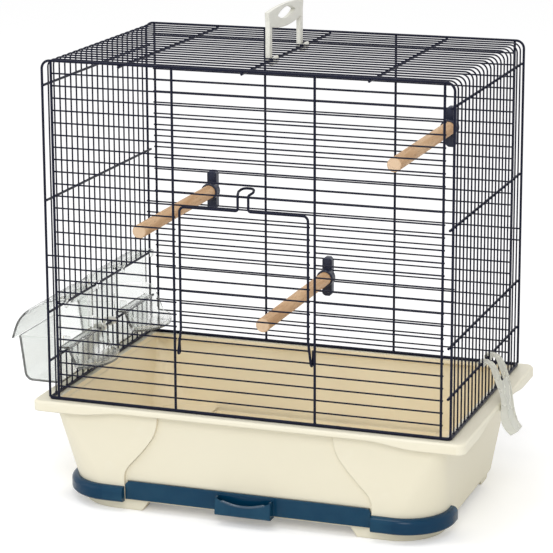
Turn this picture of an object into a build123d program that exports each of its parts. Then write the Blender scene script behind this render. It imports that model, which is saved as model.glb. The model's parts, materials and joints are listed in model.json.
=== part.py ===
from build123d import *
import math
import os

# Bird cage: a wire body with a hinged door on a moulded tray with a drawer.
# Millimetres, +Z up, front towards -Y. The wire body is drawn about its own middle, and every
# piece is moved at the end so that the origin is at the bottom middle of the whole cage.

# Wire body
hoop_pitch = 13.0          # spacing of the hoops along the depth
hoop_gaps = 20             # gaps between the first and the last hoop
body_half_width = 204.0    # wire body, centre to hoop centre
bar_pitch = 12.0           # spacing of the level bars in the front and back
bar_count = 27             # level bars in each end panel
hoop_corner = 8.0          # bend of a hoop at the top corners
thin_r = 0.8               # radius of the thin wire
thick_r = 1.25             # radius of the thick wire
ring_r = 1.6               # radius of the foot ring wire
ring_corner = 3.0          # bend of the foot ring
weld = 0.05                # how far crossing wires sink together
post_inset = 9.0           # outer uprights of the end panels, inside the side hoops
post_inner = 71.0          # uprights beside the door
side_levels = (39.0, 88.0, 200.0, 313.0)   # side runs above the foot ring
top_run_spacing = 124.0    # top runs, either side of the middle one
run_overhang = 2.0         # how far the runs pass the end hoops
tie_bars = (16, 17)        # bars, counted from the top, that reach the end hoops

# Door
door_side_gap = 6.5        # side wires of the door, inside the uprights
door_top_drop = 1.0        # top wire, below the first whole bar over the door
door_bars = (12, 22)       # first and last cut bar, counted from the top
hinge_bar = 23             # bar that the door turns on
door_gap = 0.35            # air between the door and the bars it hooks
door_corner = 5.0
latch_bar = 10             # bar that the latch loop lies over
latch_leg = 5.3            # half the width between the legs of the latch
latch_half = 7.4           # half the width of the latch loop
latch_reach = 16.0         # loop, from the door to its inner end
hook_return = 12.0         # length of the hinge hook above the bar

# Tray
rim_top = 108.4            # top of the rim, where the foot ring rests
rim_drop = 10.4            # height of the rim at the corners
rim_thin = 5.2             # height of the rim at mid side
rim_reach_x = 16.5         # rim past the side hoops
rim_reach_y = 10.0         # rim past the end hoops
relief_width = 24.0        # thinned strip along the outside of the rim
rim_corner = 9.0
side_wall_in = 4.0         # top of the side walls, inside the side hoops
end_wall_out = 4.0         # top of the end walls, outside the end hoops
tray_top_corner = 6.0
side_taper = 10.0          # how far the side walls lean in to the bottom
end_taper = 7.0
tray_low_corner = 50.0
foot_height = 10.0
tray_wall = 2.5
seat_ledge_x = 6.0         # ledge under the foot ring, from the hoops to the opening
seat_ledge_y = 4.0
seat_depth = 4.4
panel_step = 3.0           # depth of the sunk field in the front wall
field_gap = 0.9            # air between the drawer face and the sides of the field
foot_inset = 4.0
foot_band = 16.0
foot_length_x = 78.0
foot_length_y = 66.0
foot_slope = 9.0           # how far the ends of the feet lean in to their tops

# Drawer
drawer_half = 124.5
drawer_height = 17.5
drawer_wall = 2.0
drawer_side_gap = 0.7
face_lap = 2.0             # drawer face past the sides of the pan
drawer_face_height = 18.5
drawer_face_thick = 2.5
pull_half = 28.5
pull_height = 18.0
pull_depth = 12.5
pull_draft = 2.0           # how far the top of the pull leans back

# Corner trims
trim_height = 15.5
trim_proud = 7.0
trim_gap = 1.3             # drawer face to the end of a trim
trim_side_run = 50.0

# Feeders
feeder_side_gap = 4.0      # cup to the hoops at the sides of its opening
feeder_depth_top = 46.5
feeder_depth_low = 40.5
feeder_top = 51.0
feeder_low = 5.0
feeder_wall = 1.8
mouth_inset = 3.5          # mouth and chute, inside the sides of the cup
cup_bend = 9.0             # round bottom edge of the cup
feeder_gap = 1.8           # air between the cup and the outside of the hoops
feeder_hoops = (2, 9), (13, 20)   # hoops at the sides of the two openings
ledge_reach = 38.0
ledge_level = 21.0
hood_lap = 2.5             # hood past the sides of the cup
hood_reach = 50.0          # hinge line to the lowest edge of the hood
hood_drop = 40.0
hood_pin_r = 1.6
hood_run = 0.08            # running clearance of the hood knuckles
knuckle_wall = 1.4

# Perches
perch_r = 7.0
perch_length = 200.0
perch_across = (-128.5, 132.0, 0.0)    # places of the perches across the cage
perch_bars = (14, 7, 21)               # bar just above each perch
holder_half = 5.2
holder_half_height = 21.0
holder_thick = 7.4
socket_wall = 2.0
socket_depth = 9.0
socket_gap = 0.05

# Tray clips
clip_centre = 0.5          # in hoop pitches behind the middle hoop
clip_arm = 7.0
clip_hook_wall = 2.4
clip_run = 0.3
clip_nib = 2.0
clip_reach = 17.0          # end of the lever past the rim
clip_rim_gap = 0.5
clip_end_half = 9.0        # half the width of the lever at its end

# Carrying handle
handle_gap = 3.5           # legs, in hoop pitches from the middle
handle_leg = 6.4
handle_thick = 4.6
handle_height = 49.0       # top of the grip above the middle run
handle_run = 0.3

# Derived places
half_depth = hoop_pitch * hoop_gaps / 2
body_height = bar_pitch * (bar_count + 1)
post_outer = body_half_width - post_inset
door_half = post_inner - door_side_gap
door_top_level = bar_pitch * (bar_count + 2 - door_bars[0]) - door_top_drop
rim_half_x = body_half_width + rim_reach_x
rim_half_y = half_depth + rim_reach_y
tray_top_x = body_half_width - side_wall_in
tray_top_y = half_depth + end_wall_out
tray_low_x = tray_top_x - side_taper
tray_low_y = tray_top_y - end_taper
seat_x = body_half_width - seat_ledge_x
seat_y = half_depth - seat_ledge_y
drawer_face_half = drawer_half + face_lap
trim_end_x = drawer_face_half + trim_gap
feeder_half = (feeder_hoops[0][1] - feeder_hoops[0][0]) * hoop_pitch / 2 - feeder_side_gap
hood_half = feeder_half + hood_lap
ring_z = rim_top + ring_r
hoop_in = body_half_width - thin_r        # inner face of every hoop leg
top_in = ring_z + body_height - thin_r    # inner face of every top run
run_x = hoop_in - thick_r + weld
top_run_z = top_in - thick_r + weld
front_y = -half_depth
bar_y = half_depth - thick_r - thin_r + weld
door_y = -(bar_y + thin_r + door_gap + thick_r)
drawer_face_y = -(tray_low_y + 0.3)
tray_low_z = foot_height
floor_z = foot_height + tray_wall
rim_low = rim_top - rim_drop
hood_axis_x = -(hoop_in + 2 * thin_r) - feeder_gap - feeder_wall
hood_axis_z = ring_z + side_levels[1]
clip_end_x = rim_half_x + clip_rim_gap + clip_reach
middle_x = (clip_end_x + hood_axis_x - hood_reach) / 2      # middle of the overall width
front_reach = max(rim_half_y, pull_depth - drawer_face_y)
middle_y = (rim_half_y - front_reach) / 2                   # middle of the overall depth


def hoop_y(index):
    return front_y + hoop_pitch * index


def bar_z(number):
    return ring_z + bar_pitch * (bar_count + 1 - number)


def rod(start, end, radius):
    line = Edge.make_line(Vector(*start), Vector(*end))
    return Solid.make_cylinder(radius, line.length, Plane(origin=start, z_dir=line.tangent_at(0)))


def bent_wire(path, radius):
    start = path @ 0
    face = Plane(origin=start, z_dir=path % 0) * Circle(radius)
    return sweep(face, path=path)


def rounded(half_x, half_y, radius, level, shift=0.0):
    return Pos(0, shift, level) * RectangleRounded(2 * half_x, 2 * half_y, radius)


def one_node(pieces, name):
    flat = []
    for piece in pieces:
        flat.extend(piece.solids())
    flat = [Pos(-middle_x, -middle_y, 0) * piece for piece in flat]
    shape = Compound(children=flat) if len(flat) > 1 else flat[0]
    export_step(shape, "parts/" + name + ".step")


def mirrored(pieces):
    return [piece.mirror(Plane.YZ) for piece in pieces]


def foot_ring():
    width = 2 * body_half_width
    loop = RectangleRounded(width, 2 * half_depth, ring_corner)
    path = Pos(0, 0, ring_z) * loop.wire()
    return bent_wire(path, ring_r)


def hoop(index, radius, left_foot):
    y = hoop_y(index)
    x = hoop_in + radius
    foot = ring_z + ring_r - weld
    top = top_in + radius
    corners = [(-x, y, left_foot), (-x, y, top), (x, y, top), (x, y, foot)]
    path = FilletPolyline(*corners, radius=hoop_corner)
    return bent_wire(path, radius)


def is_cut(index):
    return any(low < index < high for low, high in feeder_hoops)


def thin_hoops():
    foot = ring_z + ring_r - weld
    cut_end = ring_z + side_levels[1]
    pieces = []
    for index in range(1, hoop_gaps):
        pieces.append(hoop(index, thin_r, cut_end if is_cut(index) else foot))
    return pieces


def end_hoops():
    foot = ring_z + ring_r - weld
    return [hoop(index, thick_r, foot) for index in (0, hoop_gaps)]


def hoop_stubs():
    foot = ring_z + ring_r - weld
    x = -(hoop_in + thin_r)
    top = ring_z + side_levels[0]
    pieces = []
    for index in range(1, hoop_gaps):
        if is_cut(index):
            pieces.append(rod((x, hoop_y(index), foot), (x, hoop_y(index), top), thin_r))
    return pieces


def side_runs(sign):
    reach = half_depth + run_overhang
    pieces = []
    for level in side_levels:
        z = ring_z + level
        pieces.append(rod((sign * run_x, -reach, z), (sign * run_x, reach, z), thick_r))
    return pieces


def top_runs():
    reach = half_depth + run_overhang
    pieces = []
    for x in (-top_run_spacing, 0.0, top_run_spacing):
        pieces.append(rod((x, -reach, top_run_z), (x, reach, top_run_z), thick_r))
    return pieces


def posts(y):
    foot = ring_z + ring_r - weld
    top = top_in + weld
    pieces = []
    for x in (-post_outer, -post_inner, post_inner, post_outer):
        pieces.append(rod((x, y, foot), (x, y, top), thick_r))
    return pieces


def level_bars(sign_y, has_door):
    short = post_outer + thick_r
    long = hoop_in + 2 * thick_r + weld
    inner = post_inner - thick_r
    y = sign_y * bar_y
    pieces = []
    for number in range(1, bar_count + 1):
        z = bar_z(number)
        end = long if number in tie_bars else short
        if has_door and door_bars[0] <= number <= door_bars[1]:
            pieces.append(rod((-end, y, z), (-inner, y, z), thin_r))
            pieces.append(rod((inner, y, z), (end, y, z), thin_r))
        else:
            pieces.append(rod((-end, y, z), (end, y, z), thin_r))
    return pieces


def door_frame():
    hinge_z = bar_z(hinge_bar)
    arm = bar_y + door_y                       # negative: the door stands in front
    low = hinge_z + arm
    back_y = -bar_y - arm
    top = ring_z + door_top_level
    foot_x = post_inner - 2 * thick_r - door_gap - 0.6
    over_bar = bar_z(latch_bar) + thin_r + door_gap + thick_r
    left = [
        (-foot_x - 0.6, back_y, hinge_z + hook_return),
        (-foot_x, back_y, low),
        (-foot_x, door_y, low),
        (-door_half, door_y, hinge_z + 22.0),
        (-door_half, door_y, top),
        (-latch_leg, door_y, top),
        (-latch_leg, door_y, over_bar),
        (-latch_half, door_y + 8.0, over_bar + 1.6),
        (-latch_half + 1.5, door_y + latch_reach, over_bar + 3.6),
    ]
    right = [(-x, y, z) for x, y, z in reversed(left)]
    bend = -arm - 0.1
    radii = [bend, bend, 14.0, door_corner, 2.6, 2.2, 3.6, 5.4]
    path = FilletPolyline(*(left + right), radius=radii + radii[::-1])
    return bent_wire(path, thick_r)


def door_wires():
    y = door_y + thick_r + thin_r - weld
    end = door_half + thick_r
    first, last = door_bars
    return [rod((-end, y, bar_z(n)), (end, y, bar_z(n)), thin_r) for n in range(first, last + 1)]


def tray_outside():
    low = rounded(tray_low_x, tray_low_y, tray_low_corner, tray_low_z)
    top = rounded(tray_top_x, tray_top_y, tray_top_corner, rim_top)
    return loft([low.face(), top.face()])


def tray_inside():
    shift = panel_step / 2
    low = rounded(tray_low_x - tray_wall, tray_low_y - tray_wall - shift,
                  tray_low_corner - tray_wall, floor_z, shift)
    top = rounded(tray_top_x - tray_wall, tray_top_y - tray_wall - shift,
                  tray_top_corner - tray_wall, rim_top - seat_depth, shift)
    return loft([low.face(), top.face()])


def sunk_field():
    half = drawer_face_half + field_gap
    top = rim_top + 10
    height = rim_top - tray_low_z
    start = floor_z + drawer_face_height + 1.5
    right = Spline((half, start), (half - 10, tray_low_z + 0.43 * height),
                   (half - 29, tray_low_z + 0.66 * height), (half - 38, rim_top),
                   tangents=[(0, 1), (0, 1)])
    left = right.mirror(Plane.YZ)
    side = Line((half, tray_low_z - 1), (half, start))
    edges = [right, left, side, side.mirror(Plane.YZ), Line(right @ 1, left @ 1),
             Line((-half, tray_low_z - 1), (half, tray_low_z - 1))]
    outline = Plane.XZ * make_face(edges)
    prism = extrude(outline, 2 * rim_half_y, dir=(0, -1, 0))
    low_y = -(tray_low_y - panel_step)
    top_y = -(tray_top_y - panel_step)
    slope = (top_y - low_y) / height
    wedge_points = [(low_y - slope, tray_low_z - 1), (low_y + slope * (top - tray_low_z), top),
                    (-2 * rim_half_y, top), (-2 * rim_half_y, tray_low_z - 1)]
    wedge = extrude(Plane.YZ * make_face(Polyline(*wedge_points, close=True)), rim_half_x, both=True)
    return prism & wedge


def rim_relief(half_length, half_width):
    ear = 46.0
    sweep_run = 52.0
    low = rim_low - 1
    thin = rim_top - rim_thin
    flat = half_length - ear - sweep_run
    right = Spline((flat, thin), (half_length - ear, rim_low), tangents=[(1, 0), (1, 0)])
    left = right.mirror(Plane.YZ)
    edges = [right, left, Line(left @ 0, right @ 0), Line(right @ 1, (half_length - ear, low)),
             Line(left @ 1, (-half_length + ear, low)),
             Line((half_length - ear, low), (-half_length + ear, low))]
    outline = Plane.XZ * make_face(edges)
    near = Pos(0, -(half_width - relief_width), 0) * extrude(outline, 2 * relief_width)
    return near, near.mirror(Plane.XZ)


def rim():
    plate = extrude(rounded(rim_half_x, rim_half_y, rim_corner, rim_low), rim_drop)
    plate = chamfer(plate.faces().sort_by(Axis.Z)[-1].edges(), 2.0)
    for cut in rim_relief(rim_half_x, rim_half_y):
        plate = plate - cut
    for cut in rim_relief(rim_half_y, rim_half_x):
        plate = plate - Rot(0, 0, 90) * cut
    return plate


def foot_gap(half):
    line = Polyline((half, -1), (half - foot_slope, foot_height + 2), (foot_slope - half, foot_height + 2),
                    (-half, -1), close=True)
    return extrude(Plane.XZ * make_face(line), rim_half_x, both=True)


def tray_feet():
    outer = rounded(tray_low_x - foot_inset, tray_low_y - foot_inset,
                    tray_low_corner - foot_inset, 0)
    inner = rounded(tray_low_x - foot_inset - foot_band, tray_low_y - foot_inset - foot_band,
                    tray_low_corner - foot_inset - foot_band, 0)
    band = extrude(outer, foot_height + 1) - extrude(inner, foot_height + 1)
    across = foot_gap(tray_low_x - foot_length_x)
    along = Rot(0, 0, 90) * foot_gap(tray_low_y - foot_length_y)
    return band - across - along


def drawer_bay(inside):
    side = drawer_half + drawer_side_gap
    top = floor_z + drawer_height + 1.5
    outer = 2 * (side + tray_wall)
    guides = Pos(0, 0, (floor_z + top) / 2) * (
        Box(outer, 2 * rim_half_y, top - floor_z) - Box(2 * side, 3 * rim_half_y, top - floor_z + 2))
    shelf = Pos(0, 0, top - tray_wall / 2) * (
        Box(2 * rim_half_x, 2 * rim_half_y, tray_wall) - Box(2 * side, 3 * rim_half_y, tray_wall + 2))
    return (guides + shelf) & inside


def clip_y():
    return clip_centre * hoop_pitch


def tray():
    outside = tray_outside() - sunk_field()
    inside = tray_inside()
    seat = extrude(rounded(seat_x, seat_y, tray_top_corner - tray_wall, rim_top - seat_depth - 1), 20)
    body = outside + rim() + tray_feet() - inside - seat
    body = body + drawer_bay(inside)
    mouth_height = drawer_height + 1.0
    mouth = Pos(0, -tray_low_y, floor_z + mouth_height / 2) * Box(
        2 * (drawer_half + drawer_side_gap), 24, mouth_height)
    return body - mouth


def drawer():
    back = tray_low_y - tray_wall - 4
    front = -(tray_low_y - 2)
    length = back - front
    pan = Pos(0, (back + front) / 2, floor_z + drawer_height / 2) * Box(
        2 * drawer_half, length, drawer_height)
    pan = fillet(pan.edges().filter_by(Axis.Z), 6)
    hollow = Pos(0, (back + front) / 2, floor_z + drawer_wall + drawer_height / 2) * Box(
        2 * (drawer_half - drawer_wall), length - 2 * drawer_wall, drawer_height)
    hollow = fillet(hollow.edges().filter_by(Axis.Z), 6 - drawer_wall)
    return pan - hollow


def drawer_front():
    front = -(tray_low_y - 2)
    face_y = drawer_face_y
    face_low = floor_z + 0.2
    face = Pos(0, face_y, face_low + drawer_face_height / 2) * Box(
        2 * drawer_face_half, drawer_face_thick, drawer_face_height)
    top_corners = face.edges().filter_by(Axis.Y).group_by(Axis.Z)[-1]
    face = fillet(top_corners, 5)
    neck = Pos(0, (face_y + front) / 2, floor_z + drawer_height / 2) * Box(
        2 * (drawer_half - 8), front - face_y, drawer_height - 2)
    return face + neck + drawer_pull(face_y, face_low)


def drawer_pull(face_y, face_low):
    front = face_y - pull_depth
    middle = (face_y + front) / 2
    low = face_low - 1.6
    side = Polyline((face_y, low), (front, low), (front + pull_draft, low + pull_height),
                    (face_y, low + pull_height), close=True)
    block = extrude(Plane.YZ * make_face(side), pull_half, both=True)
    block = fillet(block.edges().group_by(Axis.Y)[0], 2.0)
    wall = 2.0
    pocket = Pos(0, middle + 0.4, low + pull_height / 2 + 3) * Box(
        2 * (pull_half - wall), pull_depth - 2 * wall - pull_draft / 2, pull_height)
    scoop_r = 62.0
    scoop = Pos(0, front, low + pull_height + scoop_r - 7.5) * Rot(90, 0, 0) * Cylinder(scoop_r, 6)
    return block - pocket - scoop


def corner_trim():
    rise = trim_height / (rim_top - tray_low_z)
    up_x = tray_low_x + (tray_top_x - tray_low_x) * rise
    up_y = tray_low_y + (tray_top_y - tray_low_y) * rise
    low = tray_low_z
    up_corner = tray_low_corner + (tray_top_corner - tray_low_corner) * rise
    outer = extrude(rounded(up_x + trim_proud, up_y + trim_proud,
                            up_corner + trim_proud, low), trim_height)
    outer = fillet(outer.faces().sort_by(Axis.Z)[-1].edges(), 5.5)
    outer = fillet(outer.faces().sort_by(Axis.Z)[0].edges(), 3.5)
    inner = tray_outside()
    room = rim_half_x
    keep = Pos(-(trim_end_x + room / 2), -(tray_low_y - trim_side_run + room / 2),
               low + trim_height / 2) * Box(room, room, 2 * trim_height)
    return (outer - inner) & keep


def feeder_cup():
    wall_x = -(hoop_in + 2 * thin_r)
    back = wall_x - feeder_gap
    t = feeder_wall
    z0 = ring_z + feeder_low
    z1 = ring_z + feeder_top
    far_top = wall_x - feeder_depth_top
    far_low = wall_x - feeder_depth_low
    outline = [(back, z0), (far_low, z0), (far_top, z1), (back, z1)]
    solid = extrude(Plane.XZ * make_face(Polyline(*outline, close=True)), feeder_half, both=True)
    solid = fillet(solid.edges().filter_by(Axis.Y).group_by(Axis.Z)[0].sort_by(Axis.X)[0], cup_bend)
    hollow_line = [(back - t, z0 + t), (far_low + t, z0 + t), (far_top + t, z1 + 1), (back - t, z1 + 1)]
    hollow = extrude(Plane.XZ * make_face(Polyline(*hollow_line, close=True)),
                     feeder_half - t, both=True)
    hollow = fillet(hollow.edges().filter_by(Axis.Y).group_by(Axis.Z)[0].sort_by(Axis.X)[0], cup_bend - t)
    run_top = ring_z + side_levels[0] + thick_r
    bridge_z = run_top + 0.4
    mouth = Pos(back, 0, bridge_z + t + 30) * Box(3 * t, 2 * (feeder_half - mouth_inset), 60)
    inner_x = -run_x + thick_r + 1.2
    bridge = Pos((back + inner_x) / 2, 0, bridge_z + t / 2) * Box(
        inner_x - back, 2 * (feeder_half - mouth_inset), t)
    return (solid - hollow - mouth) + bridge + feeder_chute(inner_x, bridge_z) + feeder_frame(back)


def feeder_chute(inner_x, bridge_z):
    t = feeder_wall
    half = feeder_half - mouth_inset
    ledge_z = ring_z + ledge_level
    floor_line = [(inner_x - t, bridge_z + t), (inner_x + 0.8, bridge_z + t),
                  (inner_x + 10, ledge_z + t), (inner_x + 10, ledge_z), (inner_x + 8, ledge_z),
                  (inner_x - 0.4, bridge_z), (inner_x - t, bridge_z)]
    apron = extrude(Plane.XZ * make_face(Polyline(*floor_line, close=True)), half, both=True)
    reach = ledge_reach - (inner_x + hoop_in)
    plan = Pos(inner_x + 8, 0, ledge_z) * Ellipse(reach - 8, half)
    plan_in = Pos(inner_x + 8, 0, ledge_z) * Ellipse(reach - 8 - t, half - t)
    keep = Pos(inner_x + 8 + 50, 0, ledge_z) * Box(100, 200, 40)
    ledge = extrude(plan, t) & keep
    lip = (extrude(plan, t + 3.0) - extrude(plan_in, t + 3.0)) & keep
    cheek_line = [(inner_x - 5, bridge_z), (inner_x - 5, bridge_z + 13), (inner_x + 2, bridge_z + 13),
                  (inner_x + 14, ledge_z + t + 3), (inner_x + 10, ledge_z), (inner_x + 8, ledge_z),
                  (inner_x - 0.4, bridge_z)]
    cheek = extrude(Plane.XZ * make_face(Polyline(*cheek_line, close=True)), t / 2, both=True)
    cheeks = Pos(0, half - t / 2, 0) * cheek + Pos(0, -half + t / 2, 0) * cheek
    return apron + ledge + lip + cheeks


def feeder_frame(back):
    t = feeder_wall
    run_z = ring_z + side_levels[1]
    hook_under = run_z + thick_r
    hook_top = hook_under + 2.2
    side = feeder_half - 2.5
    z1 = ring_z + feeder_top
    upright = Pos(back - t, 0, (z1 - 8 + hook_top) / 2) * Box(2 * t, 5.0, hook_top - z1 + 8)
    inner = -run_x + thick_r + 0.3
    arm = Pos((back - t + inner + 2) / 2, 0, (hook_under + hook_top) / 2) * Box(
        inner + 2 - back + t, 5.0, hook_top - hook_under)
    tip = Pos(inner + 1, 0, (hook_top + run_z - 4) / 2) * Box(2, 5.0, hook_top - run_z + 4)
    hanger = upright + arm + tip
    bar = rod((hood_axis_x, -side, hood_axis_z), (hood_axis_x, side, hood_axis_z), hood_pin_r)
    return Pos(0, side, 0) * hanger + Pos(0, -side, 0) * hanger + bar


def feeder_hood():
    px = hood_axis_x
    pz = hood_axis_z
    t = feeder_wall
    ring_out = hood_pin_r + hood_run + knuckle_wall
    tip = (px - hood_reach, pz - hood_drop)
    start = (px + 0.5, pz + ring_out)
    outer = Spline(start, (px - 22, pz - 3), (px - 42, pz - 20), tip,
                   tangents=[(-1, -0.05), (-0.35, -1)])
    low = [tip, (tip[0] + 5, tip[1] + 1.5), (px - 3.5, pz - 35), (px - 3.5, pz + 0.5), start]
    side_face = Plane.XZ * make_face([outer, Polyline(*low)])
    solid = extrude(side_face, hood_half, both=True)
    inner_start = (px + 12, pz + ring_out - t)
    inner_curve = Spline((px - 2, pz + ring_out - t), (px - 21.4, pz - 4.8), (px - 40.5, pz - 21.2),
                         (tip[0] + 1.9, tip[1] - 0.5), tangents=[(-1, -0.05), (-0.35, -1)])
    under = [inner_curve @ 1, (tip[0] + 1.9, pz - 60), (px + 12, pz - 60), inner_start,
             inner_curve @ 0]
    hollow_face = Plane.XZ * make_face([inner_curve, Polyline(*under)])
    hollow = extrude(hollow_face, hood_half - t, both=True)
    shell = solid - hollow
    knuckle = Cylinder(ring_out, 9) - Cylinder(hood_pin_r + hood_run, 11)
    knuckle = Pos(px, 0, pz) * Rot(90, 0, 0) * knuckle
    bore = Pos(px, 0, pz) * Rot(90, 0, 0) * Cylinder(hood_pin_r + hood_run, 200)
    hanger_room = Pos(px + 2.5, 0, pz) * Box(15, 200, 14) - Pos(px, 0, pz) * Box(60, 66, 30)
    shell = shell - hanger_room
    knuckles = Pos(0, 24, 0) * knuckle + Pos(0, -24, 0) * knuckle
    return (shell + knuckles) - bore


def perch(x, bar_above):
    z = (bar_z(bar_above) + bar_z(bar_above + 1)) / 2
    face = bar_y - thin_r - 1.2
    front = face - holder_thick + 3.0
    back = bar_y + 0.6 * thin_r + 0.6
    plate = Pos(x, (front + back) / 2, z) * Box(
        2 * holder_half, back - front, 2 * holder_half_height)
    plate = chamfer(plate.edges().filter_by(Axis.Y), 2.8)
    plate = chamfer(plate.edges().filter_by(Axis.X).group_by(Axis.Y)[0], 1.4)
    for number in range(bar_above - 1, bar_above + 3):
        groove = Pos(x, bar_y + 3, bar_z(number)) * Box(
            2 * holder_half + 2, 6, 2 * (thin_r + socket_gap))
        round_end = rod((x - 9, bar_y, bar_z(number)), (x + 9, bar_y, bar_z(number)),
                        thin_r + socket_gap)
        plate = plate - groove - round_end
    outer = perch_r + socket_wall
    socket = Pos(x, front - socket_depth / 2 + 0.5, z) * Rot(90, 0, 0) * Cylinder(
        outer, socket_depth + 1)
    socket = chamfer(socket.edges().group_by(Axis.Y)[0], 0.8)
    bore = Pos(x, front - socket_depth / 2, z) * Rot(90, 0, 0) * Cylinder(
        perch_r + socket_gap, socket_depth)
    holder = plate + socket - bore
    dowel = rod((x, front - perch_length, z), (x, front, z), perch_r)
    dowel = chamfer(dowel.edges().group_by(Axis.Y)[0], 0.8)
    return dowel, holder


def clip():
    px = run_x
    pz = ring_z + side_levels[0]
    inner_r = thick_r + clip_run
    outer_r = inner_r + clip_hook_wall
    rim_x = rim_half_x + clip_rim_gap
    outside = Spline((px, pz + outer_r), (px + 15, pz - 7), (rim_x + 6.5, rim_top - 6),
                     (rim_x + clip_reach, rim_top - 27), tangents=[(1, 0), (0.75, -0.7)])
    inside = Spline((px + 2, pz + inner_r), (px + 11, pz - 8.5), (rim_x + 1.0, rim_top + 3),
                    (rim_x + 0.8, rim_top - 8), (rim_x + clip_reach - 6.5, rim_top - 31),
                    tangents=[(1, -0.1), (0.75, -0.7)])
    edges = [outside, inside, Line(outside @ 0, inside @ 0), Line(outside @ 1, inside @ 1)]
    lever_face = make_face(edges)
    width = 2 * hoop_pitch + clip_arm
    lever = extrude(Plane.XZ * lever_face, width / 2, both=True)
    window = Pos(px + 4, 0, pz) * Box(2 * 15, 2 * hoop_pitch - clip_arm, 60)
    taper = []
    for sign in (-1, 1):
        corner = Polyline((px + 12, sign * (width / 2 + 1)), (clip_end_x + 9, sign * (width / 2 + 1)),
                          (clip_end_x + 9, sign * (clip_end_half - 3)), close=True)
        taper.append(extrude(Pos(0, 0, pz - 120) * make_face(corner), 200))
    lever = lever - window - taper[0] - taper[1]
    hook_ring = Cylinder(outer_r, clip_arm) - Cylinder(inner_r, clip_arm + 2)
    opening = Pos(-1.0, 0, 0) * Rot(0, 0, 40) * Pos(-0.2, outer_r, 0) * Box(
        2 * inner_r, 2 * outer_r, clip_arm + 2)
    hook_ring = Pos(px, 0, pz) * Rot(90, 0, 0) * (hook_ring - Rot(0, 0, 100) * opening)
    hooks = Pos(0, hoop_pitch, 0) * hook_ring + Pos(0, -hoop_pitch, 0) * hook_ring
    core = Pos(px, 0, pz) * Rot(90, 0, 0) * Cylinder(inner_r, 100)
    nib_z = rim_top - rim_thin - 1.0
    nib_line = Polyline((rim_x + 3, nib_z), (rim_x - clip_nib, nib_z), (rim_x - clip_nib, nib_z - 1.6),
                        (rim_x + 3, nib_z - 5), close=True)
    nib = extrude(Plane.XZ * make_face(nib_line), 8, both=True)
    return Pos(0, clip_y(), 0) * ((lever - core) + hooks + nib)


def handle():
    z0 = top_run_z
    leg_y = handle_gap * hoop_pitch
    inner_r = thick_r + handle_run
    outer_r = inner_r + 3.4
    x_in = -inner_r
    x_out = -inner_r - handle_thick
    top = z0 + handle_height
    half = leg_y + handle_leg / 2
    legs = None
    for sign in (-1, 1):
        leg = Pos((x_in + x_out) / 2, sign * leg_y, (z0 + top - 3) / 2) * Box(
            handle_thick, handle_leg, top - 3 - z0)
        ring = Cylinder(outer_r, handle_leg) - Cylinder(inner_r, handle_leg + 2)
        ring = Pos(0, sign * leg_y, z0) * Rot(90, 0, 0) * ring
        lower = Pos(0, sign * leg_y, z0 - 10) * Box(40, handle_leg + 4, 20)
        curl = Pos((inner_r + outer_r) / 2, sign * leg_y, z0 + 2.2) * Box(
            outer_r - inner_r, handle_leg, 4.4)
        curl = fillet(curl.edges().filter_by(Axis.Y).group_by(Axis.Z)[-1], 1.5)
        piece = leg + (ring & lower) + curl
        legs = piece if legs is None else legs + piece
    grip = [
        ThreePointArc((-half - 2, top - 3), (0, top), (half + 2, top - 3)),
        Line((half + 2, top - 3), (half - 1, top - 17)),
        ThreePointArc((half - 1, top - 17), (0, top - 22), (-half + 1, top - 17)),
        Line((-half + 1, top - 17), (-half - 2, top - 3)),
    ]
    plate = Pos(x_out, 0, 0) * extrude(Plane.YZ * make_face(grip), handle_thick)
    hole = make_face([ThreePointArc((-26, top - 9), (0, top - 3.2), (26, top - 9)),
                      ThreePointArc((26, top - 9), (0, top - 14.5), (-26, top - 9))])
    hole = extrude(Plane.YZ * hole, 60, both=True)
    return legs + plate - hole


os.makedirs("parts", exist_ok=True)
one_node([foot_ring()], "foot_ring")
one_node(thin_hoops(), "thin_hoops")
one_node(end_hoops(), "end_hoops")
one_node(hoop_stubs(), "hoop_stubs")
one_node(side_runs(-1), "left_runs")
one_node(side_runs(1), "right_runs")
one_node(top_runs(), "top_runs")
one_node(posts(front_y), "front_posts")
one_node(posts(-front_y), "back_posts")
one_node(level_bars(-1, True), "front_bars")
one_node(level_bars(1, False), "back_bars")
one_node([door_frame()], "door_frame")
one_node(door_wires(), "door_wires")
one_node([tray()], "tray")
one_node([drawer()], "drawer")
one_node([drawer_front()], "drawer_front")
one_node([corner_trim()], "trim_left")
one_node(mirrored([corner_trim()]), "trim_right")
for name, (low, high) in zip(("front", "rear"), feeder_hoops):
    centre = (hoop_y(low) + hoop_y(high)) / 2
    one_node([Pos(0, centre, 0) * feeder_cup()], "feeder_cup_" + name)
    one_node([Pos(0, centre, 0) * feeder_hood()], "feeder_hood_" + name)
for name, x, bar_above in zip(("left", "right", "middle"), perch_across, perch_bars):
    dowel, holder = perch(x, bar_above)
    one_node([dowel], "perch_dowel_" + name)
    one_node([holder], "perch_holder_" + name)
one_node([clip()], "clip_right")
one_node(mirrored([clip()]), "clip_left")
one_node([handle()], "handle")
print("built")
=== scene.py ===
import bpy, bmesh, math, random, json
from mathutils import Vector, Matrix
from mathutils.bvhtree import BVHTree


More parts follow.
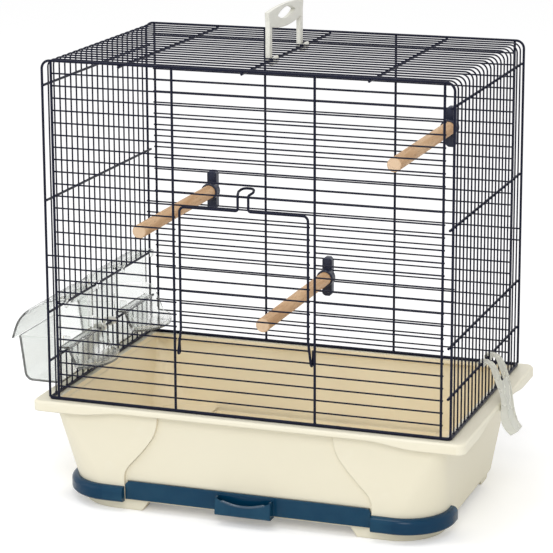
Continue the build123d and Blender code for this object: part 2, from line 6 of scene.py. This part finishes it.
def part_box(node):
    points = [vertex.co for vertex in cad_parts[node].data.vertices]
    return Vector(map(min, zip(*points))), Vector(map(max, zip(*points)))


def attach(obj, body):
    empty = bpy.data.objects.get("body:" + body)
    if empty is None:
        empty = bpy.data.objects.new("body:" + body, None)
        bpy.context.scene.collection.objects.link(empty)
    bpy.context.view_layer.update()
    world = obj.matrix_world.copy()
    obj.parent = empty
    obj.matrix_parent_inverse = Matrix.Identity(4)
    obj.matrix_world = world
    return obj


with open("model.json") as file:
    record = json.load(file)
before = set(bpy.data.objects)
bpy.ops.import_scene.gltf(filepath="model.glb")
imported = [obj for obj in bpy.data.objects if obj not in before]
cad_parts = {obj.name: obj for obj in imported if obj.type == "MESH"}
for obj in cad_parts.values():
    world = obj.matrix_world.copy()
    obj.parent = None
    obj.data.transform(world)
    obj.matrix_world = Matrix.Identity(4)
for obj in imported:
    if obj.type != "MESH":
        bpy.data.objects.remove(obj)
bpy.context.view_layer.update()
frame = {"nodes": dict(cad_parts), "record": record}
nodes = frame["nodes"]
random.seed(7)
print("frame loaded:", len(nodes), "nodes")


# Small helpers for node trees: lower-case names are node settings, others are its sockets
def addNode(tree, kind, **inputs):
    node = tree.nodes.new(kind)
    for name, value in inputs.items():
        if hasattr(node, name) and name[0].islower():
            setattr(node, name, value)
        else:
            node.inputs[name].default_value = value
    return node


def join(tree, source, outName, target, inName):
    tree.links.new(source.outputs[outName], target.inputs[inName])


def rangeOf(tree, source, outName, low, high, lowOut=0.0, highOut=1.0):
    spread = tree.nodes.new("ShaderNodeMapRange")
    for name, value in (("From Min", low), ("From Max", high), ("To Min", lowOut), ("To Max", highOut)):
        spread.inputs[name].default_value = value
    join(tree, source, outName, spread, "Value")
    return spread


def newGroup(name, inputs, outputs):
    group = bpy.data.node_groups.new(name, "ShaderNodeTree")
    for label, kind, value in inputs:
        socket = group.interface.new_socket(label, in_out="INPUT", socket_type=kind)
        if value is not None:
            socket.default_value = value
    for label, kind in outputs:
        group.interface.new_socket(label, in_out="OUTPUT", socket_type=kind)
    return group, group.nodes.new("NodeGroupInput"), group.nodes.new("NodeGroupOutput")


# Fine cast texture of moulded plastic: a height and a slow blotch
def makeMouldGroup():
    group, inside, out = newGroup("mouldSkin", [
        ("Grain size", "NodeSocketFloat", 900.0), ("Blotch size", "NodeSocketFloat", 9.0)],
        [("Height", "NodeSocketFloat"), ("Blotch", "NodeSocketFloat")])
    place = addNode(group, "ShaderNodeTexCoord")
    grain = addNode(group, "ShaderNodeTexNoise", Detail=2.0, Roughness=0.6)
    blotch = addNode(group, "ShaderNodeTexNoise", Detail=3.0, Roughness=0.55)
    for node, size in ((grain, "Grain size"), (blotch, "Blotch size")):
        join(group, place, "Object", node, "Vector")
        join(group, inside, size, node, "Scale")
    join(group, grain, "Fac", out, "Height")
    join(group, blotch, "Fac", out, "Blotch")
    return group


# Rubbed edges: convex edges come out near 1
def makeEdgeGroup():
    group, inside, out = newGroup("rubbedEdge", [
        ("Start", "NodeSocketFloat", 0.52), ("End", "NodeSocketFloat", 0.62),
        ("Break up", "NodeSocketFloat", 60.0)], [("Edge", "NodeSocketFloat")])
    shape = addNode(group, "ShaderNodeNewGeometry")
    place = addNode(group, "ShaderNodeTexCoord")
    noise = addNode(group, "ShaderNodeTexNoise", Detail=3.0)
    join(group, place, "Object", noise, "Vector")
    join(group, inside, "Break up", noise, "Scale")
    ramp = addNode(group, "ShaderNodeMapRange")
    join(group, shape, "Pointiness", ramp, "Value")
    join(group, inside, "Start", ramp, "From Min")
    join(group, inside, "End", ramp, "From Max")
    mix = addNode(group, "ShaderNodeMath", operation="MULTIPLY")
    join(group, ramp, "Result", mix, 0)
    join(group, noise, "Fac", mix, 1)
    join(group, mix, "Value", out, "Edge")
    return group


# Dust that settles on faces that look up
def makeDustGroup():
    group, inside, out = newGroup("settledDust", [
        ("Amount", "NodeSocketFloat", 0.2), ("Patch size", "NodeSocketFloat", 25.0)],
        [("Dust", "NodeSocketFloat")])
    shape = addNode(group, "ShaderNodeNewGeometry")
    split = addNode(group, "ShaderNodeSeparateXYZ")
    join(group, shape, "Normal", split, "Vector")
    up = rangeOf(group, split, "Z", 0.5, 1.0)
    place = addNode(group, "ShaderNodeTexCoord")
    noise = addNode(group, "ShaderNodeTexNoise", Detail=4.0, Roughness=0.65)
    join(group, place, "Object", noise, "Vector")
    join(group, inside, "Patch size", noise, "Scale")
    patch = addNode(group, "ShaderNodeMath", operation="MULTIPLY")
    join(group, up, "Result", patch, 0)
    join(group, noise, "Fac", patch, 1)
    whole = addNode(group, "ShaderNodeMath", operation="MULTIPLY")
    join(group, patch, "Value", whole, 0)
    join(group, inside, "Amount", whole, 1)
    join(group, whole, "Value", out, "Dust")
    return group


# Faces that look in towards the middle of a bowl, and its floor below a level: the mask for painted shade, a
# warmer darker tint that stands in for shade and light bounced between the tray's cream walls
def makePaintedShadeGroup():
    group, inside, out = newGroup("bowlPaintedShade", [
        ("Floor level", "NodeSocketFloat", 0.09), ("Slope start", "NodeSocketFloat", 0.1),
        ("Slope end", "NodeSocketFloat", 0.5)], [("Inside", "NodeSocketFloat")])
    place = addNode(group, "ShaderNodeTexCoord")
    split = addNode(group, "ShaderNodeSeparateXYZ")
    tilt = addNode(group, "ShaderNodeSeparateXYZ")
    join(group, place, "Object", split, "Vector")
    join(group, place, "Normal", tilt, "Vector")
    level = addNode(group, "ShaderNodeVectorMath", operation="MULTIPLY")
    level.inputs[1].default_value = (1.0, 1.0, 0.0)
    join(group, place, "Object", level, 0)
    outward = addNode(group, "ShaderNodeVectorMath", operation="NORMALIZE")
    join(group, level, "Vector", outward, 0)
    facing = addNode(group, "ShaderNodeVectorMath", operation="DOT_PRODUCT")
    join(group, outward, "Vector", facing, 0)
    join(group, place, "Normal", facing, 1)
    turned = addNode(group, "ShaderNodeMath", operation="MULTIPLY")
    turned.inputs[1].default_value = -1.0
    join(group, facing, "Value", turned, 0)
    walls = addNode(group, "ShaderNodeMapRange")
    join(group, turned, "Value", walls, "Value")
    join(group, inside, "Slope start", walls, "From Min")
    join(group, inside, "Slope end", walls, "From Max")
    below = addNode(group, "ShaderNodeMath", operation="LESS_THAN")
    join(group, split, "Z", below, 0)
    join(group, inside, "Floor level", below, 1)
    base = addNode(group, "ShaderNodeMath", operation="MULTIPLY", use_clamp=True)
    join(group, below, "Value", base, 0)
    join(group, tilt, "Z", base, 1)
    either = addNode(group, "ShaderNodeMath", operation="MAXIMUM")
    join(group, walls, "Result", either, 0)
    join(group, base, "Value", either, 1)
    join(group, either, "Value", out, "Inside")
    return group


mouldSkin = makeMouldGroup()
rubbedEdge = makeEdgeGroup()
settledDust = makeDustGroup()
bowlPaintedShade = makePaintedShadeGroup()


def placeGroup(tree, group, **values):
    node = tree.nodes.new("ShaderNodeGroup")
    node.node_tree = group
    for name, value in values.items():
        node.inputs[name.replace("_", " ")].default_value = value
    return node


def startMaterial(name):
    material = bpy.data.materials.new(name)
    material.use_nodes = True
    tree = material.node_tree
    return material, tree, tree.nodes["Principled BSDF"]


def mixColours(tree, factor, outName, first, second):
    mix = addNode(tree, "ShaderNodeMix", data_type="RGBA")
    join(tree, factor, outName, mix, 0)
    for index, value in ((6, first), (7, second)):
        if isinstance(value, (tuple, list)):
            mix.inputs[index].default_value = (*value, 1.0)
        else:
            tree.links.new(value, mix.inputs[index])
    return mix.outputs[2]


def roughFrom(tree, factor, outName, low, high, shader):
    spread = rangeOf(tree, factor, outName, 0.0, 1.0, low, high)
    join(tree, spread, "Result", shader, "Roughness")


def bumpFrom(tree, factor, outName, shader, distance, strength, edgeRadius=0.0):
    bump = addNode(tree, "ShaderNodeBump", Distance=distance, Strength=strength)
    join(tree, factor, outName, bump, "Height")
    if edgeRadius > 0:
        soft = addNode(tree, "ShaderNodeBevel", samples=4, Radius=edgeRadius)
        join(tree, soft, "Normal", bump, "Normal")
    join(tree, bump, "Normal", shader, "Normal")


# One moulded plastic, with its tint, gloss and wear
def makePlastic(name, look):
    material, tree, shader = startMaterial(name)
    skin = placeGroup(tree, mouldSkin, Grain_size=look["grain"], Blotch_size=look["blotch"])
    edge = placeGroup(tree, rubbedEdge)
    dust = placeGroup(tree, settledDust, Amount=look["dust"])
    body = mixColours(tree, skin, "Blotch", look["colour"], look["shade"])
    rubbed = mixColours(tree, edge, "Edge", body, look["edge"])
    # Painted shade: inside the bowl the colour turns to the warmer "inside" tint, which stands in for shade and
    # warm bounced light, not for a different plastic
    if "inside" in look:
        bowl = placeGroup(tree, bowlPaintedShade)
        rubbed = mixColours(tree, bowl, "Inside", rubbed, look["inside"])
    final = mixColours(tree, dust, "Dust", rubbed, look["dustColour"])
    tree.links.new(final, shader.inputs["Base Color"])
    roughFrom(tree, skin, "Blotch", *look["rough"], shader)
    bumpFrom(tree, skin, "Height", shader, look["grainDepth"], 0.35, look["edgeRadius"])
    shader.inputs["Specular IOR Level"].default_value = look["shine"]
    if "seeThrough" in look:
        shader.inputs["Transmission Weight"].default_value = look["seeThrough"]
        shader.inputs["IOR"].default_value = look["bending"]
    return material


# The cream's "inside" colour is painted shade for the tray's interior: shade and warm light bounced between its
# walls
creamLook = {"colour": (0.79, 0.745, 0.595), "shade": (0.765, 0.715, 0.555), "edge": (0.83, 0.80, 0.67),
             "inside": (0.88, 0.785, 0.58), "dustColour": (0.74, 0.71, 0.62), "dust": 0.12, "grain": 700.0,
             "blotch": 7.0, "rough": (0.33, 0.45), "grainDepth": 0.00012, "shine": 0.45, "edgeRadius": 0.0018}
creamPlastic = makePlastic("creamPlastic", creamLook)

# The handle's plastic: a greyer cream, which is its own tone, made darker as painted shade
handleGreyShadedLook = {"colour": (0.72, 0.715, 0.64), "shade": (0.68, 0.67, 0.59), "edge": (0.80, 0.795, 0.73),
              "dustColour": (0.72, 0.71, 0.66), "dust": 0.10, "grain": 700.0, "blotch": 18.0,
              "rough": (0.31, 0.43), "grainDepth": 0.00012, "shine": 0.45, "edgeRadius": 0.0012}
handleGreyShadedPlastic = makePlastic("handleGreyShadedPlastic", handleGreyShadedLook)

blueLook = {"colour": (0.002, 0.036, 0.082), "shade": (0.001, 0.030, 0.071), "edge": (0.02, 0.08, 0.13),
            "dustColour": (0.08, 0.12, 0.16), "dust": 0.04, "grain": 1100.0, "blotch": 14.0,
            "rough": (0.10, 0.22), "grainDepth": 0.00004, "shine": 0.18, "edgeRadius": 0.0016}
bluePlastic = makePlastic("bluePlastic", blueLook)

holderLook = {"colour": (0.010, 0.014, 0.035), "shade": (0.007, 0.010, 0.028), "edge": (0.03, 0.04, 0.08),
              "dustColour": (0.10, 0.10, 0.11), "dust": 0.15, "grain": 900.0, "blotch": 30.0,
              "rough": (0.28, 0.40), "grainDepth": 0.0001, "shine": 0.4, "edgeRadius": 0.0007}
holderPlastic = makePlastic("holderPlastic", holderLook)

# Milky clip plastic: light soaks through it
clipLook = {"colour": (0.80, 0.80, 0.725), "shade": (0.73, 0.73, 0.65), "edge": (0.90, 0.90, 0.85),
            "dustColour": (0.8, 0.8, 0.78), "dust": 0.1, "grain": 800.0, "blotch": 40.0,
            "rough": (0.21, 0.33), "grainDepth": 0.0001, "shine": 0.6, "edgeRadius": 0.0005,
            "seeThrough": 0.38, "bending": 1.2}
milkyPlastic = makePlastic("milkyPlastic", clipLook)

# Clear moulding, a little cloudy where it is rubbed
clearLook = {"tint": (0.93, 0.945, 0.93), "haze": (0.89, 0.905, 0.89), "rough": (0.07, 0.17),
             "grain": 320.0, "blotch": 22.0, "seeThrough": 0.94, "bending": 1.27}


def makeClear():
    material, tree, shader = startMaterial("clearPlastic")
    skin = placeGroup(tree, mouldSkin, Grain_size=clearLook["grain"], Blotch_size=clearLook["blotch"])
    tint = mixColours(tree, skin, "Blotch", clearLook["tint"], clearLook["haze"])
    tree.links.new(tint, shader.inputs["Base Color"])
    roughFrom(tree, skin, "Blotch", *clearLook["rough"], shader)
    bumpFrom(tree, skin, "Height", shader, 0.0001, 0.1)
    shader.inputs["Transmission Weight"].default_value = clearLook["seeThrough"]
    shader.inputs["IOR"].default_value = clearLook["bending"]
    return material


clearPlastic = makeClear()


# Wire coating: dark blue-black, thick and glossy, uneven where it ran
wireLook = {"colour": (0.003, 0.004, 0.014), "thin": (0.007, 0.009, 0.026), "dustColour": (0.09, 0.10, 0.13),
            "dust": 0.04, "dustPatch": 70.0, "grain": 260.0, "blotch": 55.0, "rough": (0.20, 0.38), "shine": 0.16}


def makeWirePaint():
    material, tree, shader = startMaterial("wireCoating")
    skin = placeGroup(tree, mouldSkin, Grain_size=wireLook["grain"], Blotch_size=wireLook["blotch"])
    dust = placeGroup(tree, settledDust, Amount=wireLook["dust"], Patch_size=wireLook["dustPatch"])
    body = mixColours(tree, skin, "Blotch", wireLook["colour"], wireLook["thin"])
    final = mixColours(tree, dust, "Dust", body, wireLook["dustColour"])
    tree.links.new(final, shader.inputs["Base Color"])
    roughFrom(tree, skin, "Blotch", *wireLook["rough"], shader)
    bumpFrom(tree, skin, "Height", shader, 0.00012, 0.4)
    shader.inputs["Specular IOR Level"].default_value = wireLook["shine"]
    return material


wireCoating = makeWirePaint()


# Turned perch wood, grain along the perch
woodLook = {"light": (0.70, 0.455, 0.25), "dark": (0.52, 0.30, 0.145), "pore": (0.36, 0.19, 0.09),
            "cut": (0.84, 0.62, 0.42), "cutRange": (0.45, 0.85), "cutShare": 0.8, "stretch": 0.09,
            "ringScale": 130.0, "bandRange": (0.38, 0.64), "poreScale": 1500.0, "poreRange": (0.60, 0.72),
            "rough": (0.49, 0.67)}


def makeWood():
    material, tree, shader = startMaterial("perchWood")
    place = addNode(tree, "ShaderNodeTexCoord")
    stretch = addNode(tree, "ShaderNodeMapping")
    stretch.inputs["Scale"].default_value = (1.0, woodLook["stretch"], 1.0)
    join(tree, place, "Object", stretch, "Vector")
    wave = addNode(tree, "ShaderNodeTexNoise", Scale=woodLook["ringScale"], Detail=6.0, Roughness=0.6,
                   Distortion=0.6)
    pores = addNode(tree, "ShaderNodeTexNoise", Scale=woodLook["poreScale"], Detail=2.0, Roughness=0.5)
    for node in (wave, pores):
        join(tree, stretch, "Vector", node, "Vector")
    bands = rangeOf(tree, wave, "Fac", *woodLook["bandRange"])
    flecks = rangeOf(tree, pores, "Fac", *woodLook["poreRange"])
    body = mixColours(tree, bands, "Result", woodLook["light"], woodLook["dark"])
    grained = mixColours(tree, flecks, "Result", body, woodLook["pore"])
    tilt = addNode(tree, "ShaderNodeSeparateXYZ")
    join(tree, place, "Normal", tilt, "Vector")
    along = addNode(tree, "ShaderNodeMath", operation="ABSOLUTE")
    join(tree, tilt, "Y", along, 0)
    cutEnd = rangeOf(tree, along, "Value", *woodLook["cutRange"], 0.0, woodLook["cutShare"])
    final = mixColours(tree, cutEnd, "Result", grained, woodLook["cut"])
    tree.links.new(final, shader.inputs["Base Color"])
    roughFrom(tree, bands, "Result", *woodLook["rough"], shader)
    bumpFrom(tree, wave, "Fac", shader, 0.0004, 0.5)
    return material


perchWood = makeWood()
print("materials made")

# Which finish each carried-over piece takes
finishOf = {"wire": wireCoating, "tray": creamPlastic, "handle": handleGreyShadedPlastic, "trim": bluePlastic,
            "clear": clearPlastic, "clip": milkyPlastic, "wood": perchWood, "holder": holderPlastic}


def dressNodes():
    slots = {part["node"]: part["material_slot"] for part in frame["record"]["subparts"]}
    for name, piece in nodes.items():
        piece.data.materials.clear()
        piece.data.materials.append(finishOf[slots[name]])


dressNodes()
print("pieces dressed")

# Coating that pools in blobs where wires are welded and at their cut ends
cageSizes = {"middleX": 0.0102, "hoopX": 0.204, "hoopInner": 0.2032, "endY": 0.130, "pitch": 0.013, "hoops": 21,
             "ringZ": 0.110, "topInner": 0.4452, "barPitch": 0.012, "bars": 27, "barY": 0.12875,
             "runLevels": (0.039, 0.088, 0.200, 0.313), "topRuns": (-0.124, 0.0, 0.124),
             "posts": (-0.195, -0.071, 0.071, 0.195), "doorBars": (12, 22), "doorHalf": 0.0645,
             "doorY": -0.1292, "runX": 0.202, "topRunZ": 0.444, "runEnd": 0.132}

beadSizes = {"sideWeld": (0.0008, 0.0012, 0.0012), "hoopFoot": (0.0015, 0.0013, 0.0011), "hoopFootZ": 0.0015,
             "topWeld": (0.0012, 0.0012, 0.0008), "barWeld": (0.0013, 0.0008, 0.0010),
             "postFoot": (0.0015, 0.0015, 0.0010), "postFootZ": 0.0016, "wireEnd": (0.00135, 0.0011, 0.00135)}


def makePiece(shape, name, material):
    mesh = bpy.data.meshes.new(name)
    shape.to_mesh(mesh)
    shape.free()
    mesh.shade_smooth()
    mesh.materials.append(material)
    piece = bpy.data.objects.new(name, mesh)
    bpy.context.scene.collection.objects.link(piece)
    print(name, "has", len(mesh.vertices), "points")
    return piece


def beadMesh(name, beads, body):
    shape = bmesh.new()
    for place, size in beads:
        turn = Matrix.Rotation(random.uniform(0, math.tau), 4, "Z")
        wobble = [value * random.uniform(0.85, 1.15) for value in size]
        matrix = Matrix.Translation(place) @ Matrix.Diagonal((*wobble, 1.0)) @ turn
        bmesh.ops.create_icosphere(shape, subdivisions=2, radius=1.0, matrix=matrix)
    piece = makePiece(shape, name, wireCoating)
    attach(piece, body)


def hoopPlaces():
    return [cageSizes["pitch"] * number - cageSizes["endY"] for number in range(cageSizes["hoops"])]


def barLevel(number):
    return cageSizes["ringZ"] + cageSizes["barPitch"] * (cageSizes["bars"] + 1 - number)


def sideBeads():
    beads = []
    for side in (-1, 1):
        weldX = side * cageSizes["hoopInner"] + cageSizes["middleX"]
        footX = side * cageSizes["hoopX"] + cageSizes["middleX"]
        for y in hoopPlaces():
            for level in cageSizes["runLevels"]:
                beads.append(((weldX, y, cageSizes["ringZ"] + level), beadSizes["sideWeld"]))
            beads.append(((footX, y, cageSizes["ringZ"] + beadSizes["hoopFootZ"]), beadSizes["hoopFoot"]))
    return beads


def topBeads():
    return [((x + cageSizes["middleX"], y, cageSizes["topInner"]), beadSizes["topWeld"])
            for x in cageSizes["topRuns"] for y in hoopPlaces()]


def endBeads():
    beads = []
    postPlaces = [x + cageSizes["middleX"] for x in cageSizes["posts"]]
    for side in (-1, 1):
        for number in range(1, cageSizes["bars"] + 1):
            for x in postPlaces:
                beads.append(((x, side * cageSizes["barY"], barLevel(number)), beadSizes["barWeld"]))
        for x in postPlaces:
            foot = (x, side * cageSizes["endY"], cageSizes["ringZ"] + beadSizes["postFootZ"])
            beads.append((foot, beadSizes["postFoot"]))
    return beads


def endBlobs():
    ends = [(side * cageSizes["runX"], cageSizes["ringZ"] + level)
            for side in (-1, 1) for level in cageSizes["runLevels"]]
    ends += [(x, cageSizes["topRunZ"]) for x in cageSizes["topRuns"]]
    return [((x + cageSizes["middleX"], end * cageSizes["runEnd"], z), beadSizes["wireEnd"])
            for x, z in ends for end in (-1, 1)]


def doorBeads():
    first, last = cageSizes["doorBars"]
    return [((side * cageSizes["doorHalf"] + cageSizes["middleX"], cageSizes["doorY"], barLevel(number)),
             beadSizes["barWeld"])
            for number in range(first, last + 1) for side in (-1, 1)]


beadMesh("wireWelds", sideBeads() + topBeads() + endBeads() + endBlobs(), "body")
beadMesh("doorWelds", doorBeads(), "door")
print("welds made")

# Raised ribs along both arms of each side clip, laid on the lever's outer face: farOut to sideDepth
# say from where that face and its side edges are felt for
ribSizes = {"radius": 0.0008, "proud": 0.0003, "edgeInset": 0.0012, "armInner": 0.0106, "top": 0.1532,
            "bottom": 0.088, "steps": 44, "hookReach": 0.004, "windowReach": 0.018, "probes": (0.012, 0.007),
            "farOut": 0.4, "sideReach": 0.03, "sideDepth": 0.0009, "leastHalf": 0.006, "fewest": 4}


def surfaceOf(name):
    mesh = nodes[name].data
    return BVHTree.FromPolygons([vert.co for vert in mesh.vertices], [face.vertices for face in mesh.polygons])


def firstHit(surface, start, direction):
    return surface.ray_cast(Vector(start), Vector(direction))[0]


# Round bead along a line, thinner at its two ends
def sweepLine(shape, points, radius, sides=8, endShare=0.35):
    rings = []
    for index, point in enumerate(points):
        before, after = points[max(index - 1, 0)], points[min(index + 1, len(points) - 1)]
        along = (after - before).normalized()
        across = along.cross(Vector((0, 1, 0))).normalized()
        upward = along.cross(across)
        thin = radius * (endShare if index in (0, len(points) - 1) else 1.0)
        angles = [math.tau * number / sides for number in range(sides)]
        rings.append([shape.verts.new(point + (across * math.cos(angle) + upward * math.sin(angle)) * thin)
                      for angle in angles])
    for first, second in zip(rings, rings[1:]):
        for number in range(sides):
            follow = (number + 1) % sides
            shape.faces.new((first[number], first[follow], second[follow], second[number]))
    shape.faces.new(list(reversed(rings[0])))
    shape.faces.new(rings[-1])


def leverFace(surface, side, centreY, z):
    hits = [firstHit(surface, (side * ribSizes["farOut"], centreY + offset, z), (-side, 0, 0))
            for offset in ribSizes["probes"]]
    return max((hit.x for hit in hits if hit is not None), key=lambda x: side * x, default=None)


def clipRibs(name, body, side):
    surface = surfaceOf(name)
    low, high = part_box(name)
    centreY = (low[1] + high[1]) / 2
    hookX = side * cageSizes["runX"] + cageSizes["middleX"]
    push = side * ribSizes["proud"]
    fall = ribSizes["bottom"] - ribSizes["top"]
    shape = bmesh.new()
    for across in (-1, 1):
        outer, inner = [], []
        for step in range(ribSizes["steps"] + 1):
            z = ribSizes["top"] + fall * step / ribSizes["steps"]
            x = leverFace(surface, side, centreY, z)
            if x is None or side * (x - hookX) < ribSizes["hookReach"]:
                continue
            start = (x - side * ribSizes["sideDepth"], centreY + across * ribSizes["sideReach"], z)
            edge = firstHit(surface, start, (0, -across, 0))
            if edge is not None and abs(edge.y - centreY) > ribSizes["leastHalf"]:
                outer.append(Vector((x + push, edge.y - across * ribSizes["edgeInset"], z)))
            if side * (x - hookX) < ribSizes["windowReach"]:
                inner.append(Vector((x + push, centreY + across * ribSizes["armInner"], z)))
        for points in (outer, inner):
            if len(points) >= ribSizes["fewest"]:
                sweepLine(shape, points, ribSizes["radius"])
    bmesh.ops.recalc_face_normals(shape, faces=shape.faces)
    ribs = makePiece(shape, name + "_ribs", milkyPlastic)
    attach(ribs, body)


clipRibs("clip_right", "clip_right", 1)
clipRibs("clip_left", "clip_left", -1)

# Polished lip along the scooped top of the drawer pull
lipSizes = {"radius": 0.0015, "frontInset": 0.0014, "half": 0.0262, "steps": 36, "startHeight": 0.004,
            "below": 0.0015, "clear": 0.02, "tries": 3, "shine": 1.0}
polishedBlue = makePlastic("polishedBlue", {**blueLook, "shine": lipSizes["shine"]})


def lipPoint(surface, low, high, x):
    z = low[2] + lipSizes["startHeight"]
    top = None
    for attempt in range(lipSizes["tries"] + 1):  # the face leans, so its top edge is found step by step
        face = firstHit(surface, (x, low[1] - lipSizes["clear"], z), (0, 1, 0))
        if face is None:
            break
        above = (x, face.y + lipSizes["frontInset"], high[2] + lipSizes["clear"])
        top = firstHit(surface, above, (0, 0, -1))
        z = top.z - lipSizes["below"]
    return top


def pullLip():
    surface = surfaceOf("drawer_front")
    low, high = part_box("drawer_front")
    spread = [2 * step / lipSizes["steps"] - 1 for step in range(lipSizes["steps"] + 1)]
    points = [lipPoint(surface, low, high, cageSizes["middleX"] + lipSizes["half"] * share) for share in spread]
    shape = bmesh.new()
    sweepLine(shape, points, lipSizes["radius"])
    bmesh.ops.recalc_face_normals(shape, faces=shape.faces)
    lip = makePiece(shape, "pullLip", polishedBlue)
    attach(lip, "drawer")


pullLip()

# Floor, light and camera
stageLook = {"floorColour": (0.90, 0.90, 0.90), "floorHalf": 30.0, "floorLift": 0.22, "worldStrength": 0.82,
             "lampTarget": (0, 0, 0.2)}
lampLook = {"keyLamp": {"place": (0.7, -2.4, 2.0), "size": 1.1, "power": 24.0},
            "fillLamp": {"place": (-2.2, -1.2, 1.4), "size": 2.0, "power": 9.0},
            "topLamp": {"place": (-0.3, -0.7, 2.3), "size": 0.6, "power": 8.0}}
cameraLook = {"place": (0.7701, -2.17865, 0.8140), "turn": (76.85, 0.21, 19.48), "lens": 155.15, "shift": -0.1}


def makeFloor():
    mesh = bpy.data.meshes.new("floor")
    half = stageLook["floorHalf"]
    corners = [(-half, -half, 0), (half, -half, 0), (half, half, 0), (-half, half, 0)]
    mesh.from_pydata(corners, [], [(0, 1, 2, 3)])
    floor = bpy.data.objects.new("floor", mesh)
    bpy.context.scene.collection.objects.link(floor)
    material, tree, shader = startMaterial("paleFloor")
    shader.inputs["Base Color"].default_value = (*stageLook["floorColour"], 1.0)
    shader.inputs["Roughness"].default_value = 0.9
    shader.inputs["Specular IOR Level"].default_value = 0.0
    path = addNode(tree, "ShaderNodeLightPath")
    seen = addNode(tree, "ShaderNodeMath", operation="MAXIMUM")
    join(tree, path, "Is Camera Ray", seen, 0)
    join(tree, path, "Is Transmission Ray", seen, 1)
    lift = addNode(tree, "ShaderNodeMath", operation="MULTIPLY")
    lift.inputs[1].default_value = stageLook["floorLift"]
    join(tree, seen, "Value", lift, 0)
    shader.inputs["Emission Color"].default_value = (1, 1, 1, 1)
    join(tree, lift, "Value", shader, "Emission Strength")
    mesh.materials.append(material)


def makeWorld():
    world = bpy.data.worlds.new("studio")
    bpy.context.scene.world = world
    world.use_nodes = True
    tree = world.node_tree
    light = tree.nodes["Background"]
    light.inputs["Color"].default_value = (1.0, 1.0, 1.0, 1.0)
    light.inputs["Strength"].default_value = stageLook["worldStrength"]
    white = addNode(tree, "ShaderNodeBackground", Color=(1.0, 1.0, 1.0, 1.0), Strength=1.0)
    path = addNode(tree, "ShaderNodeLightPath")
    seen = addNode(tree, "ShaderNodeMath", operation="MAXIMUM")
    glass = addNode(tree, "ShaderNodeMath", operation="MAXIMUM")
    join(tree, path, "Is Camera Ray", seen, 0)
    join(tree, path, "Is Glossy Ray", seen, 1)
    join(tree, seen, "Value", glass, 0)
    join(tree, path, "Is Transmission Ray", glass, 1)
    pick = addNode(tree, "ShaderNodeMixShader")
    join(tree, glass, "Value", pick, "Fac")
    tree.links.new(light.outputs[0], pick.inputs[1])
    tree.links.new(white.outputs[0], pick.inputs[2])
    tree.links.new(pick.outputs[0], tree.nodes["World Output"].inputs["Surface"])


def makeLamp(name, look):
    data = bpy.data.lights.new(name, "AREA")
    data.size = look["size"]
    data.energy = look["power"]
    lamp = bpy.data.objects.new(name, data)
    bpy.context.scene.collection.objects.link(lamp)
    lamp.location = look["place"]
    aim = Vector(stageLook["lampTarget"]) - Vector(look["place"])
    lamp.rotation_euler = aim.to_track_quat("-Z", "Y").to_euler()


def makeCamera():
    data = bpy.data.cameras.new("viewCamera")
    data.sensor_width = 36.0
    data.lens = cameraLook["lens"]
    data.shift_y = cameraLook["shift"]
    data.clip_end = 100.0
    camera = bpy.data.objects.new("viewCamera", data)
    bpy.context.scene.collection.objects.link(camera)
    camera.location = cameraLook["place"]
    camera.rotation_euler = [math.radians(angle) for angle in cameraLook["turn"]]
    bpy.context.scene.camera = camera


makeFloor()
makeWorld()
for lampName, look in lampLook.items():
    makeLamp(lampName, look)
makeCamera()
bpy.context.scene.view_settings.view_transform = "Standard"
print("stage ready")
